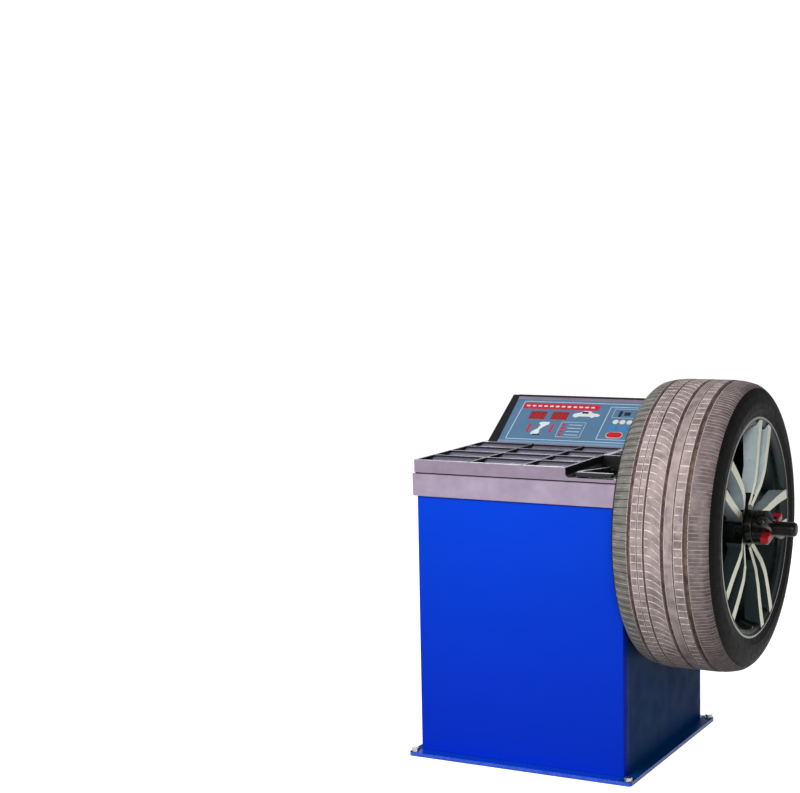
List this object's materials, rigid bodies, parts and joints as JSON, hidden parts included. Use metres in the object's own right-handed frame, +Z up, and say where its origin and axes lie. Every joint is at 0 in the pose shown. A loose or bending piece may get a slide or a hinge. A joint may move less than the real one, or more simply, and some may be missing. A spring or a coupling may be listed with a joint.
{
  "type": "wheel balancer machine",
  "caption": "Workshop wheel balancer: sheet-steel cabinet with weight tray, sloping console, distance gauge and a side spindle holding a clamped car wheel.",
  "frame": {"origin": "centre of the bounding box's bottom face, on the floor", "axes": "+Z up, -Y to the operator in front, +X along the spindle from the cabinet to the wheel"},
  "size_m": [0.952, 0.753, 0.974],
  "materials": {
    "blue_paint": "gloss enamel",
    "grey_plastic": "satin moulded",
    "black_plastic": "satin",
    "overlay_film": "printed film",
    "red_window": "clear red",
    "white_key": "satin",
    "blue_key": "satin",
    "red_key": "satin",
    "green_key": "satin",
    "circuit": "lacquered board",
    "steel": "turned",
    "zinc": "bright zinc plate",
    "cast_iron": "painted casting",
    "motor_paint": "satin",
    "belt_rubber": "matt",
    "tyre_rubber": "matt tread",
    "alloy": "diamond cut face",
    "dark_alloy": "dark painted"
  },
  "bodies": {
    "cabinet": {"base_plate": "blue_paint", "front_panel": "blue_paint", "left_side_panel": "blue_paint", "right_side_panel": "blue_paint", "rear_panel": "blue_paint", "anchor_bolt_front_left": "zinc", "anchor_bolt_front_right": "zinc", "anchor_bolt_rear_right": "zinc", "anchor_bolt_rear_left": "zinc", "vertical_force_sensor": "zinc", "horizontal_force_sensor": "zinc", "tray_skirt": "grey_plastic", "weight_tray": "grey_plastic", "console_housing": "grey_plastic", "console_cheek_left": "black_plastic", "console_cheek_right": "black_plastic", "gauge_pan": "black_plastic", "gauge_bushing": "black_plastic", "power_inlet": "black_plastic", "console_overlay": "overlay_film", "digit_window_left": "red_window", "digit_window_right": "red_window", "computer_board": "circuit", "power_board": "circuit", "inner_bearing": "steel", "outer_bearing": "steel", "flexure_plate": "steel", "spindle_housing": "cast_iron", "spindle_post": "cast_iron", "motor_bracket": "cast_iron", "motor_housing": "motor_paint", "drive_belt": "belt_rubber"},
    "spindle": {"spindle_shaft": "steel", "mounting_flange": "steel", "centring_cone": "steel", "cone_spring": "steel", "spindle_pulley": "cast_iron", "encoder_disc": "black_plastic"},
    "motor_drive": {"motor_rotor": "steel", "motor_pulley": "steel"},
    "wheel": {"tyre": "tyre_rubber", "rim_barrel": "dark_alloy", "wheel_disc": "alloy", "valve_stem": "black_plastic"},
    "cup": {"pressure_cup": "black_plastic"},
    "quick_nut": {"nut_body": "black_plastic"},
    "release_a": {"release_button_a": "red_key"},
    "release_b": {"release_button_b": "red_key"},
    "gauge_slider": {"gauge_rod": "steel"},
    "gauge_finger": {"gauge_arm": "black_plastic"},
    "mains_switch": {"power_switch": "black_plastic"},
    "key_round_left_cap": {"key_round_left": "white_key"},
    "key_round_middle_cap": {"key_round_middle": "white_key"},
    "key_round_right_cap": {"key_round_right": "white_key"},
    "key_blue_left_cap": {"key_blue_left": "blue_key"},
    "key_blue_right_cap": {"key_blue_right": "blue_key"},
    "key_stop_cap": {"key_stop": "red_key"},
    "key_start_cap": {"key_start": "green_key"}
  },
  "joints": [
    {"name": "spindle_spin", "type": "hinge", "parent": "cabinet", "child": "spindle", "pos_m": [0.244, -0.0185, 0.616], "axis": [1, 0, 0], "continuous": true},
    {"name": "motor_spin", "type": "hinge", "parent": "cabinet", "child": "motor_drive", "pos_m": [-0.288, 0.1505, 0.3], "axis": [1, 0, 0], "continuous": true},
    {"name": "wheel_off", "type": "slide", "parent": "spindle", "child": "wheel", "axis": [1, 0, 0], "range_m": [0, 0.22]},
    {"name": "cup_off", "type": "slide", "parent": "wheel", "child": "cup", "axis": [1, 0, 0], "range_m": [0, 0.13]},
    {"name": "nut_turn", "type": "hinge", "parent": "cup", "child": "quick_nut", "pos_m": [0.384, -0.0185, 0.616], "axis": [1, 0, 0], "continuous": true},
    {"name": "release_a_press", "type": "slide", "parent": "quick_nut", "child": "release_a", "axis": [0, 0.9397, 0.342], "range_m": [0, 0.003], "stiffness_N_per_m": 800},
    {"name": "release_b_press", "type": "slide", "parent": "quick_nut", "child": "release_b", "axis": [0, -0.9397, -0.342], "range_m": [0, 0.003], "stiffness_N_per_m": 800},
    {"name": "gauge_slide", "type": "slide", "parent": "cabinet", "child": "gauge_slider", "axis": [1, 0, 0], "range_m": [0, 0.035]},
    {"name": "gauge_swing", "type": "hinge", "parent": "gauge_slider", "child": "gauge_finger", "pos_m": [-0.011, -0.0025, 0.736], "axis": [-1, 0, 0], "range_deg": [0, 70]},
    {"name": "switch_rock", "type": "hinge", "parent": "cabinet", "child": "mains_switch", "pos_m": [0.034, 0.3485, 0.19], "axis": [1, 0, 0], "range_deg": [0, 16]},
    {"name": "key_round_left_press", "type": "slide", "parent": "cabinet", "child": "key_round_left_cap", "axis": [0, 0.5446, -0.8387], "range_m": [0, 0.0008], "stiffness_N_per_m": 600},
    {"name": "key_round_middle_press", "type": "slide", "parent": "cabinet", "child": "key_round_middle_cap", "axis": [0, 0.5446, -0.8387], "range_m": [0, 0.0008], "stiffness_N_per_m": 600},
    {"name": "key_round_right_press", "type": "slide", "parent": "cabinet", "child": "key_round_right_cap", "axis": [0, 0.5446, -0.8387], "range_m": [0, 0.0008], "stiffness_N_per_m": 600},
    {"name": "key_blue_left_press", "type": "slide", "parent": "cabinet", "child": "key_blue_left_cap", "axis": [0, 0.5446, -0.8387], "range_m": [0, 0.0008], "stiffness_N_per_m": 600},
    {"name": "key_blue_right_press", "type": "slide", "parent": "cabinet", "child": "key_blue_right_cap", "axis": [0, 0.5446, -0.8387], "range_m": [0, 0.0008], "stiffness_N_per_m": 600},
    {"name": "key_stop_press", "type": "slide", "parent": "cabinet", "child": "key_stop_cap", "axis": [0, 0.5446, -0.8387], "range_m": [0, 0.0008], "stiffness_N_per_m": 600},
    {"name": "key_start_press", "type": "slide", "parent": "cabinet", "child": "key_start_cap", "axis": [0, 0.5446, -0.8387], "range_m": [0, 0.0008], "stiffness_N_per_m": 600}
  ],
  "couplings": [
    {"joint": "motor_spin", "follows": "spindle_spin", "ratio": 6.993}
  ]
}
